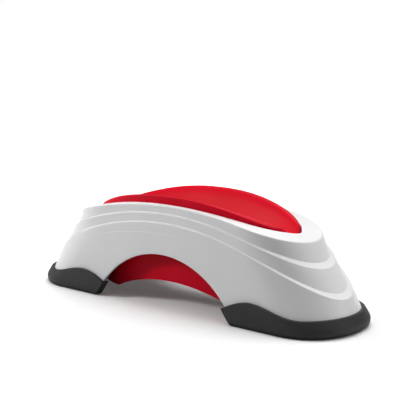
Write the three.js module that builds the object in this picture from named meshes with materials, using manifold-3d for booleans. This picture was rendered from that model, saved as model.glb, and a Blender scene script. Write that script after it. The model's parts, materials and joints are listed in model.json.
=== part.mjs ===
// Front riser block for a bike trainer: a stepped cover on two rubber boots, with a wheel cradle that
// rises through a slot in the top and is bolted at one of five heights by a knob under the trough.
// Millimetres, +Z up. The origin is on the floor under the middle, +X along the block, -Y its front side.
import * as THREE from "three";
import { mergeVertices } from "three/addons/utils/BufferGeometryUtils.js";
import Module from "manifold-3d";

// Clearances and mesh fineness
const gap = 0.3;
const slotClearance = 0.8;
const overrun = 2;
const quarterSteps = 18;
const roundSteps = 16;
const archSteps = 20;
const weldDistance = 0.0001;
const slopeStep = 0.07;
const straightShare = 0.4;
const coreShare = 0.93;

// Cradle: crest line of its walls, lip outside it, outline at the slot and the wheel trough
const cradleRoundness = 2.3;
const cradleDraft = 3.2;
const cradleWall = 3;
const cradleBottom = 9;
const skirtBottom = 6.6;
const nosePinchShare = 0.5;
const nosePinchPower = 14;
const crestHalfLength = 102.9;
const crestHalfWidth = 36.9;
const crestEndHalfWidth = 13.6;
const crestHeight = 98.7;
const crestEndHeight = 79.5;
const crestNose = 7;
const lipEndWidth = 2.4;
const lipSideWidth = 0.6;
const cradleHalfLength = crestHalfLength + crestNose + lipEndWidth;
const cradleHalfWidth = crestHalfWidth + lipSideWidth;
const crestPlanPower = 2.64;
const crestNosePower = 1.3;
const crestRisePower = 1.7;
const lipFall = 1;
const lipEndFall = 1.4;
const troughFloor = 53;
const wheelRadius = 334;
const troughFloorShare = 0.25;
const troughEndShare = 0.96;
const hollowWidthShare = 0.87;
const lipEndPower = 4;
const troughShares = [1, 0.9, 0.8, 0.68, 0.56, 0.44, 0.3, 0.12, 0];
const hollowShares = [1, 0.8, 0.6, 0.4, 0.2, 0];
const noseLugInset = 12;

// Stepped cover: each line lies a step outside the one above it, and drops from the middle to the ends
const shellWall = 2.4;
const rimEndMargin = 16;
const rimSideMargin = 4.5;
const rimHalfLength = cradleHalfLength + rimEndMargin;
const rimHalfWidth = cradleHalfWidth + rimSideMargin;
const rimHeight = 91;
const rimDrop = 21;
const rimChamfer = 1.6;
const upperLedgeEndStep = 14;
const upperLedgeSideStep = 1.5;
const upperLedgeHalfLength = rimHalfLength + upperLedgeEndStep;
const upperLedgeHalfWidth = rimHalfWidth + upperLedgeSideStep;
const upperLedgeHeight = 83.4;
const upperLedgeDrop = 34;
const lowerLedgeEndStep = 18.2;
const lowerLedgeSideStep = 1.6;
const lowerLedgeHalfLength = upperLedgeHalfLength + lowerLedgeEndStep;
const lowerLedgeHalfWidth = upperLedgeHalfWidth + lowerLedgeSideStep;
const lowerLedgeHeight = 75.4;
const lowerLedgeDrop = 48.9;
const ledgeEndDepth = 5.5;
const ledgeEndRise = 4.2;
const ledgeSideDepth = 0.8;
const ledgeSideRise = 1.2;
const hemEndStep = 9.3;
const hemSideStep = 2.2;
const hemHalfLength = lowerLedgeHalfLength + hemEndStep;
const hemHalfWidth = lowerLedgeHalfWidth + hemSideStep;
const hemHeight = 4;
const bandStraight = 80;
const footStraight = 125;
const sweepPower = 2.05;
const bandRoundness = 2.05;
const footRoundness = 2.2;
const innerEndSetback = 2;

// Arches in the long sides
const archRadius = 92;
const archCrown = 48;
const skirtArchRadius = 172;
const skirtArchCrown = 22;

// Rubber boots
const bootToeFlare = 3.2;
const bootSideFlare = 3.3;
const bootHalfLength = hemHalfLength + bootToeFlare;
const bootHalfWidth = hemHalfWidth + bootSideFlare;
const bootGap = 0.5;
const bootWall = 2.9;
const bootBulgeHeight = 6.5;
const bootFootHeight = 1.6;
const bootFootToeInset = 1.2;
const bootFootSideInset = 0.4;
const bootFloorToeInset = 3.2;
const bootFloorSideInset = 1.3;
const soleThickness = 3.1;
const bootHeelX = 79.3;
const bootTipX = 69.4;
const bootTipHeight = 13.2;
const bootHumpX = 97;
const bootHumpHeight = 22.2;
const bootHumpPower = 1.7;
const bootDipX = 145;
const bootDipHeight = 14.1;
const bootToeHeight = 15;
const bootReturnDepth = 8.4;

// Heights: the cradle rises by whole pitches from its stops
const heightPitch = 12.5;
const heightCount = 5;
const cradleRise = heightPitch * (heightCount - 1);

// Leg plates, towers, stop pads
const plateThickness = 3;
const plateClearance = 1.5;
const plateInnerX = 105;
const towerClearance = 1.3;
const towerInnerX = cradleHalfLength + towerClearance;
const towerThickness = 6.5;
const towerHalfWidth = 16;
const towerTopWall = 1.5;
const towerFootLength = 12;
const towerFootHeight = 6;
const towerRibThickness = 2.4;
const towerRibHeight = 38;
const grooveDepth = 4;
const grooveWidth = 6;
const grooveY = 12;
const grooveClearance = 0.5;
const lugHeight = 3;
const padRadius = 4;
const padHeight = 2;
const padSetback = 3.5;
const padX = cradleHalfLength - padSetback;
const padY = grooveY;

// Bolts, bridges and knob
const boltThickness = 4;
const boltWidth = 12;
const boltFootAboveEdge = 1.5;
const boltBarBottom = 31;
const boltStepX = 74;
const boltStepLength = 10;
const boltTipSetback = 0.7;
const boltTipX = towerInnerX - boltTipSetback;
const boltWindowPlay = 0.5;
const yokeInnerY = 3.4;
const yokeOuterY = 13;
const yokeHalfLength = 8;
const barInnerX = 14;
const crankRadius = 8;
const crankPinRadius = 2;
const crankPinLength = 8;
const knobTurn = Math.PI / 4;
const boltTravel = 2 * crankRadius * Math.sin(knobTurn / 2);
const knobRadius = 13;
const knobDiscThickness = 4;
const knobGripDepth = 3.8;
const knobGripLength = 25;
const knobGripWidth = 6;
const knobHubRadius = 6.5;
const pivotRadius = 2.5;
const pivotHeadRadius = 4;
const pivotHeadHeight = 2;
const pivotBossRadius = 6;
const pivotReach = 10;
const bridgeX = 45;
const bridgeLength = 10;
const bridgeThickness = 3.4;
const bridgeHalfWidth = 18;
const bridgeScrewY = 13.5;

// Screws and the posts that they enter
const screwRadius = 1.5;
const screwHeadRadius = 3;
const screwHeadHeight = 2;
const driveRadius = 1.6;
const driveDepth = 1.2;
const screwBite = 10;
const postRadius = 4;
const postRibThickness = 2;
const heelPostMargin = 7;
const heelPostInset = 10.3;
const toePostInset = 18.5;
const toePostY = 20;
const legPosts = [
  { x: plateInnerX + heelPostMargin, y: hemHalfWidth - heelPostInset },
  { x: hemHalfLength - toePostInset, y: toePostY },
];
const towerScrewY = 9;

// Colours, satin plastics and rubber
const finish = (color, roughness, metalness = 0) =>
  new THREE.MeshStandardMaterial({ color, roughness, metalness });
const whitePlastic = finish(0xe9e9ea, 0.35);
const redPlastic = finish(0xb8061f, 0.35);
const blackRubber = finish(0x2b2b2c, 0.75);
const greyPlastic = finish(0x55585c, 0.5);
const darkPlastic = finish(0x2c2e31, 0.5);
const steel = finish(0xb9bcc0, 0.3, 1);

const wasm = await Module();
wasm.setup();

// Solids: three.js geometry in, manifold solid out, and back

function solid(geometry) {
  const bare = geometry.clone();
  bare.deleteAttribute("normal");
  bare.deleteAttribute("uv");
  const merged = mergeVertices(bare, weldDistance);
  const corners = merged.index.array;
  const kept = [];
  for (let i = 0; i < corners.length; i += 3) {
    const [a, b, c] = corners.slice(i, i + 3);
    if (a !== b && b !== c && c !== a) kept.push(a, b, c);
  }
  const mesh = new wasm.Mesh({
    numProp: 3,
    vertProperties: merged.attributes.position.array,
    triVerts: new Uint32Array(kept),
  });
  return new wasm.Manifold(mesh);
}

function geometryOf(made) {
  const mesh = made.getMesh();
  const geometry = new THREE.BufferGeometry();
  geometry.setAttribute("position", new THREE.BufferAttribute(new Float32Array(mesh.vertProperties), 3));
  geometry.setIndex(new THREE.BufferAttribute(new Uint32Array(mesh.triVerts), 1));
  const faceted = geometry.toNonIndexed();
  faceted.computeVertexNormals();
  return faceted;
}

function box(low, high) {
  const size = high.map((value, axis) => value - low[axis]);
  const geometry = new THREE.BoxGeometry(...size);
  geometry.translate(...high.map((value, axis) => (value + low[axis]) / 2));
  return solid(geometry);
}

function post(x, y, bottom, top, radius, steps = roundSteps) {
  const geometry = new THREE.CylinderGeometry(radius, radius, top - bottom, steps);
  geometry.rotateX(Math.PI / 2);
  geometry.translate(x, y, (bottom + top) / 2);
  return solid(geometry);
}

// A side profile of [x, z] points, extruded across the block between two y values
function acrossBlock(points, lowY, highY) {
  const shape = new THREE.Shape(points.map(([x, z]) => new THREE.Vector2(x, z)));
  const geometry = new THREE.ExtrudeGeometry(shape, { depth: highY - lowY, bevelEnabled: false });
  geometry.rotateX(Math.PI / 2);
  geometry.translate(0, highY, 0);
  return solid(geometry);
}

function archProfile(radius, crown, bottom) {
  const centre = crown - radius;
  const reach = Math.acos((bottom - centre) / radius);
  const points = [];
  for (let step = 0; step <= archSteps; step += 1) {
    const angle = reach * (1 - (2 * step) / archSteps);
    points.push([radius * Math.sin(angle), centre + radius * Math.cos(angle)]);
  }
  return points;
}

const joined = (parts) => parts.reduce((sum, next) => sum.add(next));
const without = (whole, parts) => parts.reduce((sum, next) => sum.subtract(next), whole);

// Rings: each is a closed plan curve with a height at each point. A plan runs from the middle of a
// long side (share 0) to the tip of an end (share 1) in one quarter of the block.

const superellipse = (halfLength, halfWidth, straight, roundness) => (share) => {
  const flatShare = straight > 0 ? straightShare : 0;
  if (share < flatShare) return [(straight * share) / flatShare, halfWidth];
  const angle = ((share - flatShare) / (1 - flatShare)) * (Math.PI / 2);
  const x = straight + (halfLength - straight) * Math.sin(angle) ** (2 / roundness);
  return [x, share < 1 ? halfWidth * Math.cos(angle) ** (2 / roundness) : 0];
};

// Boat-shaped plan of the cradle and its slot, drawn in towards a point at each end
const nosed = (halfLength, halfWidth) => (share) => {
  const [x, y] = superellipse(halfLength, halfWidth, 0, cradleRoundness)(share);
  return [x, y * (1 - nosePinchShare * (x / halfLength) ** nosePinchPower)];
};

const centreLine = (plan) => (share) => [plan(share)[0] * coreShare, 0];

const towards = (from, to, share) => from + (to - from) * share;

function ring(plan, height) {
  const quarter = [];
  for (let step = 0; step <= quarterSteps; step += 1) quarter.push(step / quarterSteps);
  const outwards = quarter.slice(0, -1);
  const inwards = quarter.slice(1).reverse();
  const point = (share, signX, signY) => {
    const [x, y] = plan(share);
    return [signX * x, signY * y, height(x, y, share)];
  };
  return [
    ...inwards.map((share) => point(share, 1, 1)),
    ...outwards.map((share) => point(share, -1, 1)),
    ...inwards.map((share) => point(share, -1, -1)),
    ...outwards.map((share) => point(share, 1, -1)),
  ];
}

// Rings from the bottom centre line, out and up, to the top centre line
function loft(rings) {
  const count = rings[0].length;
  const index = [];
  for (let level = 0; level + 1 < rings.length; level += 1) {
    for (let step = 0; step < count; step += 1) {
      const next = (step + 1) % count;
      const low = level * count;
      const high = low + count;
      index.push(low + step, low + next, high + next);
      index.push(low + step, high + next, high + step);
    }
  }
  const geometry = new THREE.BufferGeometry();
  geometry.setAttribute("position", new THREE.Float32BufferAttribute(rings.flat(2), 3));
  geometry.setIndex(index);
  return solid(geometry);
}

const level = (height) => () => height;

function prism(plan, bottom, top) {
  return loft([
    ring(centreLine(plan), level(bottom)),
    ring(plan, level(bottom)),
    ring(plan, level(top)),
    ring(centreLine(plan), level(top)),
  ]);
}

// Stepped cover

const swept = (height, drop, halfLength) => (x) => height - drop * (Math.abs(x) / halfLength) ** sweepPower;
const topHeight = swept(rimHeight, rimDrop, rimHalfLength);

const band = (halfLength, halfWidth, inset = 0) =>
  superellipse(halfLength - inset, halfWidth - inset, bandStraight, bandRoundness);

const hemPlan = (outset) =>
  superellipse(hemHalfLength + outset, hemHalfWidth + outset, footStraight, footRoundness);

const lowerLedgePlan = (outset) => band(lowerLedgeHalfLength, lowerLedgeHalfWidth, -outset);

function ledgeRings(halfLength, halfWidth, height, drop) {
  const innerHalfLength = halfLength - ledgeEndDepth;
  const innerDrop = drop - ledgeEndRise + ledgeSideRise;
  return [
    ring(band(halfLength, halfWidth), swept(height, drop, halfLength)),
    ring(
      superellipse(innerHalfLength, halfWidth - ledgeSideDepth, bandStraight, bandRoundness),
      swept(height + ledgeSideRise, innerDrop, innerHalfLength),
    ),
  ];
}

function coverSolid() {
  const top = band(rimHalfLength, rimHalfWidth, rimChamfer);
  return loft([
    ring(centreLine(hemPlan(0)), level(hemHeight)),
    ring(hemPlan(0), level(hemHeight)),
    ...ledgeRings(lowerLedgeHalfLength, lowerLedgeHalfWidth, lowerLedgeHeight, lowerLedgeDrop),
    ...ledgeRings(upperLedgeHalfLength, upperLedgeHalfWidth, upperLedgeHeight, upperLedgeDrop),
    ring(band(rimHalfLength, rimHalfWidth), (x) => topHeight(x) - rimChamfer),
    ring(top, topHeight),
    ring(centreLine(top), topHeight),
  ]);
}

function coverHollow() {
  const lowered = (height) => (x) => height(x) - shellWall;
  const top = band(rimHalfLength - innerEndSetback, rimHalfWidth, shellWall);
  const upper = band(upperLedgeHalfLength - innerEndSetback, upperLedgeHalfWidth, shellWall);
  const lower = band(lowerLedgeHalfLength - innerEndSetback, lowerLedgeHalfWidth, shellWall);
  const upperSweep = swept(upperLedgeHeight, upperLedgeDrop, upperLedgeHalfLength);
  const lowerSweep = swept(lowerLedgeHeight, lowerLedgeDrop, lowerLedgeHalfLength);
  return loft([
    ring(centreLine(hemPlan(-shellWall)), level(hemHeight - overrun)),
    ring(hemPlan(-shellWall), level(hemHeight - overrun)),
    ring(hemPlan(-shellWall), level(hemHeight)),
    ring(lower, lowered(lowerSweep)),
    ring(upper, lowered(upperSweep)),
    ring(top, lowered(topHeight)),
    ring(centreLine(top), lowered(topHeight)),
  ]);
}

const plateBottom = soleThickness + gap;
const plateTop = plateBottom + plateThickness;
const slotPlan = nosed(cradleHalfLength + slotClearance, cradleHalfWidth + slotClearance);

const corners = [
  [-1, -1],
  [-1, 1],
  [1, -1],
  [1, 1],
];

// Rib that ties a screw post to the side wall
function postRib(x, signY, y) {
  const halfRib = postRibThickness / 2;
  const [nearY, farY] = [signY * y, signY * (hemHalfWidth - gap)].sort((a, b) => a - b);
  return box([x - halfRib, nearY, plateTop + 2 * gap], [x + halfRib, farY, rimHeight]);
}

function shell() {
  const whole = coverSolid();
  const posts = [];
  const pilots = [];
  for (const [signX, signY] of corners) {
    for (const { x, y } of legPosts) {
      posts.push(post(signX * x, signY * y, plateTop + gap, rimHeight, postRadius));
      posts.push(postRib(signX * x, signY, y));
      pilots.push(
        post(signX * x, signY * y, plateTop - overrun, plateTop + screwBite + overrun, screwRadius + gap),
      );
    }
  }
  const arch = acrossBlock(
    archProfile(archRadius, archCrown, -overrun),
    -hemHalfWidth - overrun,
    hemHalfWidth + overrun,
  );
  const skin = whole.subtract(coverHollow());
  const slot = prism(slotPlan, archCrown, rimHeight + overrun);
  return without(skin.add(joined(posts).intersect(whole)), [arch, slot, ...pilots]);
}

// Rubber boots

// Top edge of a boot: a tip at the arch, a hump beside it, then a low line round the toe
function bootTop(x) {
  if (x < bootHumpX) {
    const fall = (bootHumpX - x) / (bootHumpX - bootTipX);
    return bootHumpHeight - (bootHumpHeight - bootTipHeight) * fall ** bootHumpPower;
  }
  if (x < bootDipX) {
    const along = (x - bootHumpX) / (bootDipX - bootHumpX);
    return towards(bootDipHeight, bootHumpHeight, (1 + Math.cos(Math.PI * along)) / 2);
  }
  return towards(bootDipHeight, bootToeHeight, (x - bootDipX) / (bootHalfLength - bootDipX));
}

// Plan of the cover's lower band, moved outwards, at the height of the boot's top edge
const bootTopPlan = (outset) => (share) => {
  const [hemX, hemY] = hemPlan(outset)(share);
  const [ledgeX, ledgeY] = lowerLedgePlan(outset)(share);
  const ledgeZ = swept(lowerLedgeHeight, lowerLedgeDrop, lowerLedgeHalfLength)(ledgeX);
  const climb = (bootTop(hemX) - hemHeight) / (ledgeZ - hemHeight);
  return [towards(hemX, ledgeX, climb), towards(hemY, ledgeY, climb)];
};

const bootPlan = (toeInset, sideInset) =>
  superellipse(bootHalfLength - toeInset, bootHalfWidth - sideInset, footStraight, footRoundness);

// A strip of rubber under the hem, with a wall that bulges round the outside of the leg
function boot(side) {
  const floorPlan = bootPlan(bootFloorToeInset, bootFloorSideInset);
  const filled = loft([
    ring(centreLine(floorPlan), level(0)),
    ring(floorPlan, level(0)),
    ring(bootPlan(bootFootToeInset, bootFootSideInset), level(bootFootHeight)),
    ring(bootPlan(0, 0), level(bootBulgeHeight)),
    ring(bootTopPlan(bootGap + bootWall), bootTop),
    ring(bootTopPlan(bootGap), bootTop),
    ring(hemPlan(bootGap), level(hemHeight)),
    ring(hemPlan(bootGap), level(soleThickness)),
    ring(centreLine(hemPlan(bootGap)), level(soleThickness)),
  ]);
  const inside = prism(hemPlan(bootSideFlare - bootReturnDepth), -overrun, soleThickness + overrun);
  const whole = filled.subtract(inside);
  const slope = (bootHeelX - bootTipX) / bootTipHeight;
  const high = bootHumpHeight + overrun;
  const legSide = acrossBlock(
    [
      [bootHeelX + slope * overrun, -overrun],
      [bootHalfLength + overrun, -overrun],
      [bootHalfLength + overrun, high],
      [bootHeelX - slope * high, high],
    ],
    -bootHalfWidth - overrun,
    bootHalfWidth + overrun,
  );
  // The boot folds round the edge of the arch, to the inside of the cover's wall
  const innerY = bootHalfWidth - bootReturnDepth;
  const fold = acrossBlock(
    [
      [bootHeelX, 0],
      [bootHeelX + bootWall, 0],
      [bootHeelX + bootWall, bootTipHeight],
      [bootTipX, bootTipHeight],
    ],
    innerY,
    hemHalfWidth + bootGap + bootWall / 2,
  );
  const archSpace = acrossBlock(
    archProfile(archRadius - gap, archCrown - gap, -overrun),
    -bootHalfWidth,
    bootHalfWidth,
  );
  const returns = fold.add(fold.mirror([0, 1, 0])).intersect(archSpace);
  const made = whole.intersect(legSide).add(returns);
  return side > 0 ? made : made.mirror([1, 0, 0]);
}

// Cradle

const wheelArc = (x) => wheelRadius - Math.sqrt(wheelRadius ** 2 - x ** 2);

function crestShare(x) {
  return Math.min(1, Math.abs(x) / crestHalfLength);
}

function crestY(x) {
  const spread = 1 - crestShare(x) ** crestPlanPower;
  return crestEndHalfWidth + (crestHalfWidth - crestEndHalfWidth) * spread;
}

function crestZ(x) {
  const rise = (1 + Math.cos(Math.PI * crestShare(x) ** crestRisePower)) / 2;
  return crestEndHeight + (crestHeight - crestEndHeight) * rise;
}

// Height of the trough: round like the wheel along the block, and climbing to the crest line at each side
function troughZ(x, y) {
  const floor = troughFloor + wheelArc(x);
  const across = Math.min(1, Math.abs(y) / crestY(x));
  const climb = Math.max(0, (across - troughFloorShare) / (1 - troughFloorShare));
  return floor + (crestZ(x) - floor) * Math.sin((Math.PI / 2) * climb) ** 2;
}

const outerPlan = (inset) => nosed(cradleHalfLength - inset, cradleHalfWidth - inset);

// Crest line in plan: along the walls, then round the nose of each end
const crestPlan = (share) => {
  const x = (outerPlan(0)(share)[0] * (crestHalfLength + crestNose)) / cradleHalfLength;
  if (x < crestHalfLength) return [x, crestY(x)];
  const beyond = Math.min(1, (x - crestHalfLength) / crestNose);
  return [x, share < 1 ? crestEndHalfWidth * (1 - beyond ** crestNosePower) : 0];
};

const crestInside = (spread) => (share) => {
  const [x, y] = crestPlan(share);
  return [x * towards(troughEndShare, 1, spread), y * spread];
};

// Height of the outer edge of the lip, just outside the crest line
const lipZ = (x, y, share) => {
  const [crestX, crestPlace] = crestPlan(share);
  return troughZ(crestX, crestPlace) - lipFall - lipEndFall * crestShare(crestX) ** lipEndPower;
};

function steepness(x, y) {
  const alongX = (troughZ(x + slopeStep, y) - troughZ(x - slopeStep, y)) / (2 * slopeStep);
  const alongY = (troughZ(x, y + slopeStep) - troughZ(x, y - slopeStep)) / (2 * slopeStep);
  return Math.sqrt(1 + alongX ** 2 + alongY ** 2);
}

function cradleHollow() {
  const under = (x, y) => troughZ(x, y) - cradleWall * steepness(x, y);
  const lowPlan = outerPlan(cradleDraft + cradleWall);
  const highPlan = (spread) => (share) => {
    const [x, y] = crestPlan(share);
    const reach = (crestHalfLength + crestNose - cradleWall) / (crestHalfLength + crestNose);
    return [x * reach * towards(troughEndShare, 1, spread), y * hollowWidthShare * spread];
  };
  return loft([
    ring(centreLine(lowPlan), level(skirtBottom - overrun)),
    ring(lowPlan, level(skirtBottom - overrun)),
    ...hollowShares.map((spread) => ring(highPlan(spread), under)),
  ]);
}

const boltFootBottom = cradleBottom + boltFootAboveEdge;
const boltFootTop = boltFootBottom + boltThickness;
const boltBarTop = boltBarBottom + boltThickness;
const bridgeTop = boltBarBottom - gap;
const skirtEndX = plateInnerX - plateClearance;
const lugTipX = towerInnerX + grooveDepth - grooveClearance;
const lugY = [grooveY - grooveWidth / 2 + grooveClearance, grooveY + grooveWidth / 2 - grooveClearance];

function cradle() {
  const whole = loft([
    ring(centreLine(outerPlan(cradleDraft)), level(skirtBottom)),
    ring(outerPlan(cradleDraft), level(skirtBottom)),
    ring(outerPlan(0), lipZ),
    ...troughShares.map((spread) => ring(crestInside(spread), troughZ)),
  ]);
  const bosses = [post(0, 0, boltBarTop + 2 * gap, crestHeight, pivotBossRadius)];
  const holes = [
    post(0, 0, boltBarTop - overrun, boltBarTop + pivotReach + overrun, pivotRadius + gap),
  ];
  for (const [signX, signY] of corners) {
    const [x, y] = [signX * bridgeX, signY * bridgeScrewY];
    bosses.push(post(x, y, boltBarBottom, crestHeight, postRadius));
    holes.push(post(x, y, boltBarBottom - overrun, boltBarBottom + screwBite + overrun, screwRadius + gap));
  }
  const lugs = [];
  for (const [signX, signY] of corners) {
    const [innerX, outerX] = [cradleHalfLength - cradleDraft - noseLugInset, lugTipX];
    const [nearY, farY] = lugY;
    lugs.push(
      box(
        [Math.min(signX * innerX, signX * outerX), Math.min(signY * nearY, signY * farY), cradleBottom],
        [
          Math.max(signX * innerX, signX * outerX),
          Math.max(signY * nearY, signY * farY),
          cradleBottom + lugHeight,
        ],
      ),
    );
  }
  const boltWindows = box(
    [
      -cradleHalfLength - overrun,
      -boltWidth / 2 - boltWindowPlay,
      boltFootBottom - boltWindowPlay,
    ],
    [cradleHalfLength + overrun, boltWidth / 2 + boltWindowPlay, boltFootTop + boltWindowPlay],
  );
  const skirtArch = acrossBlock(
    archProfile(skirtArchRadius, skirtArchCrown, skirtBottom - overrun),
    -cradleHalfWidth,
    cradleHalfWidth,
  );
  // The skirt is cut back over the leg plates
  const footRoom = [-1, 1].map((side) =>
    box(
      [Math.min(side * skirtEndX, side * lugTipX), -cradleHalfWidth, skirtBottom - overrun],
      [Math.max(side * skirtEndX, side * lugTipX), cradleHalfWidth, cradleBottom],
    ),
  );
  const hollow = cradleHollow();
  const walls = whole.subtract(hollow);
  const inside = joined(bosses).intersect(whole);
  return without(joined([walls, inside, ...lugs]), [boltWindows, skirtArch, ...footRoom, ...holes]);
}

// Leg plates, towers and stop pads

// A round screw head with its drive hole below and its shank above
function screw(x, y, headBottom, shankTop) {
  const head = post(x, y, headBottom, headBottom + screwHeadHeight, screwHeadRadius);
  const shank = post(x, y, headBottom + screwHeadHeight - gap, shankTop, screwRadius, roundSteps / 2);
  const drive = post(x, y, headBottom - overrun, headBottom + driveDepth, driveRadius, roundSteps / 4);
  return head.add(shank).subtract(drive);
}

const towerOuterX = towerInnerX + towerThickness;
const towerScrewX = towerOuterX + towerFootLength / 2;
const towerBottom = plateTop + gap;

function screwSeats(side, places) {
  return places.flatMap(([x, y]) => [
    post(side * x, y, plateBottom - overrun, plateTop + overrun, screwRadius + gap),
    post(side * x, y, plateBottom - overrun, plateBottom + screwHeadHeight + gap, screwHeadRadius + gap),
  ]);
}

function legPlate(side) {
  const outline = prism(hemPlan(-shellWall - plateClearance), plateBottom, plateTop);
  const half = box(
    [plateInnerX, -hemHalfWidth, plateBottom - overrun],
    [hemHalfLength, hemHalfWidth, plateTop + overrun],
  );
  const places = [
    ...legPosts.flatMap(({ x, y }) => [
      [x, y],
      [x, -y],
    ]),
    [towerScrewX, towerScrewY],
    [towerScrewX, -towerScrewY],
  ];
  const made = outline.intersect(side > 0 ? half : half.mirror([1, 0, 0]));
  return without(made, screwSeats(side, places));
}

const windowZ = (step) => boltFootBottom + boltThickness / 2 + step * heightPitch;

function rackTower(side) {
  const grooveTop = cradleBottom + lugHeight + cradleRise + gap;
  const windowHalf = boltThickness / 2 + boltWindowPlay;
  const top = windowZ(heightCount - 1) + windowHalf + towerTopWall;
  const footTop = towerBottom + towerFootHeight;
  const footEnd = towerOuterX + towerFootLength;
  const body = box([towerInnerX, -towerHalfWidth, towerBottom], [towerOuterX, towerHalfWidth, top]);
  const foot = box(
    [towerOuterX - overrun, -towerHalfWidth, towerBottom],
    [footEnd, towerHalfWidth, footTop],
  );
  const ribProfile = [
    [towerOuterX - gap, footTop - gap],
    [footEnd, footTop - gap],
    [towerOuterX - gap, footTop + towerRibHeight],
  ];
  const outerRib = towerHalfWidth - towerRibThickness;
  const ribs = [
    acrossBlock(ribProfile, outerRib, towerHalfWidth),
    acrossBlock(ribProfile, -towerHalfWidth, -outerRib),
    acrossBlock(ribProfile, -towerRibThickness / 2, towerRibThickness / 2),
  ];
  const cuts = [];
  for (const signY of [-1, 1]) {
    cuts.push(
      box(
        [towerInnerX - overrun, signY * grooveY - grooveWidth / 2, towerBottom - overrun],
        [towerInnerX + grooveDepth, signY * grooveY + grooveWidth / 2, grooveTop],
      ),
    );
    cuts.push(
      post(towerScrewX, signY * towerScrewY, towerBottom - overrun, footTop - gap, screwRadius + gap),
    );
  }
  const windowHalfWidth = boltWidth / 2 + boltWindowPlay;
  for (let step = 0; step < heightCount; step += 1) {
    cuts.push(
      box(
        [towerInnerX - overrun, -windowHalfWidth, windowZ(step) - windowHalf],
        [towerOuterX + (step ? overrun : -gap), windowHalfWidth, windowZ(step) + windowHalf],
      ),
    );
  }
  const made = without(joined([body, foot, ...ribs]), cuts);
  return side > 0 ? made : made.mirror([1, 0, 0]);
}

function stopPad(signX, signY) {
  return post(signX * padX, signY * padY, plateTop + gap, plateTop + gap + padHeight, padRadius);
}

// Bolts, bridges and knob. The right bolt is driven on the front side of the pivot, the left one behind it.

const crankX = crankRadius * Math.sin(knobTurn / 2);
const crankY = crankRadius * Math.cos(knobTurn / 2);

function lockBolt(side) {
  const halfWidth = boltWidth / 2;
  const stepEnd = boltStepX + boltStepLength;
  const bar = acrossBlock(
    [
      [barInnerX, boltBarBottom],
      [boltStepX - boltThickness / 2, boltBarBottom],
      [stepEnd - boltThickness / 2, boltFootBottom],
      [boltTipX, boltFootBottom],
      [boltTipX, boltFootTop],
      [stepEnd + boltThickness / 2, boltFootTop],
      [boltStepX + boltThickness / 2, boltBarTop],
      [barInnerX, boltBarTop],
    ],
    -halfWidth,
    halfWidth,
  );
  const yoke = box(
    [-yokeHalfLength, -yokeOuterY, boltBarBottom],
    [barInnerX + halfWidth, -yokeInnerY, boltBarTop],
  );
  const slotHalf = crankPinRadius + gap;
  const slot = box(
    [-crankX - slotHalf, -crankRadius - slotHalf, boltBarBottom - overrun],
    [-crankX + slotHalf, -crankY + slotHalf, boltBarTop + overrun],
  );
  const made = bar.add(yoke).subtract(slot);
  return side > 0 ? made : made.rotate([0, 0, 180]);
}

function boltBridge(side) {
  const strap = box(
    [bridgeX - bridgeLength / 2, -bridgeHalfWidth, bridgeTop - bridgeThickness],
    [bridgeX + bridgeLength / 2, bridgeHalfWidth, bridgeTop],
  );
  const holes = [-1, 1].map((signY) =>
    post(
      bridgeX,
      signY * bridgeScrewY,
      bridgeTop - bridgeThickness - overrun,
      bridgeTop + overrun,
      screwRadius + gap,
    ),
  );
  const made = without(strap, holes);
  return side > 0 ? made : made.mirror([1, 0, 0]);
}

const discTop = boltBarBottom - gap;
const discBottom = discTop - knobDiscThickness;
const gripBottom = discBottom - knobGripDepth;
const pivotHeadTop = gripBottom + pivotHeadHeight + gap;

function lockKnob() {
  const grip = box(
    [-knobGripLength / 2, -knobGripWidth / 2, gripBottom],
    [knobGripLength / 2, knobGripWidth / 2, discBottom + gap],
  );
  const pinBottom = boltBarTop + gap - crankPinLength;
  const cuts = [
    post(0, 0, gripBottom - overrun, discTop + overrun, pivotRadius + gap),
    post(0, 0, gripBottom - overrun, pivotHeadTop + gap, pivotHeadRadius + gap),
    post(-crankX, -crankY, pinBottom - gap, discTop + overrun, crankPinRadius + gap),
    post(crankX, crankY, pinBottom - gap, discTop + overrun, crankPinRadius + gap),
  ];
  const disc = post(0, 0, discBottom, discTop, knobRadius, 2 * roundSteps);
  const hub = post(0, 0, gripBottom, discBottom + gap, knobHubRadius);
  return without(joined([disc, hub, grip]), cuts);
}

function crankPin(side) {
  const top = boltBarTop + gap;
  return post(-side * crankX, -side * crankY, top - crankPinLength, top, crankPinRadius);
}

function knobPivot() {
  const head = post(0, 0, pivotHeadTop - pivotHeadHeight, pivotHeadTop, pivotHeadRadius);
  const shank = post(0, 0, pivotHeadTop - gap, boltBarTop + pivotReach, pivotRadius);
  const drive = post(
    0,
    0,
    pivotHeadTop - pivotHeadHeight - overrun,
    pivotHeadTop - pivotHeadHeight + driveDepth,
    driveRadius,
    roundSteps / 4,
  );
  return head.add(shank).subtract(drive);
}

// Assembly

const riser = new THREE.Group();

function add(name, made, material) {
  const mesh = new THREE.Mesh(geometryOf(made), material);
  mesh.name = name;
  riser.add(mesh);
}

const sideName = (side) => (side > 0 ? "right" : "left");
const rowName = (signY) => (signY > 0 ? "rear" : "front");

add("shell", shell(), whitePlastic);
add("cradle", cradle(), redPlastic);
add("lock_knob", lockKnob(), darkPlastic);
add("knob_pivot", knobPivot(), steel);

for (const side of [-1, 1]) {
  const name = sideName(side);
  add(`boot_${name}`, boot(side), blackRubber);
  add(`leg_plate_${name}`, legPlate(side), greyPlastic);
  add(`rack_tower_${name}`, rackTower(side), greyPlastic);
  add(`lock_bolt_${name}`, lockBolt(side), darkPlastic);
  add(`bolt_bridge_${name}`, boltBridge(side), greyPlastic);
  add(`crank_pin_${name}`, crankPin(side), steel);
}

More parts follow.
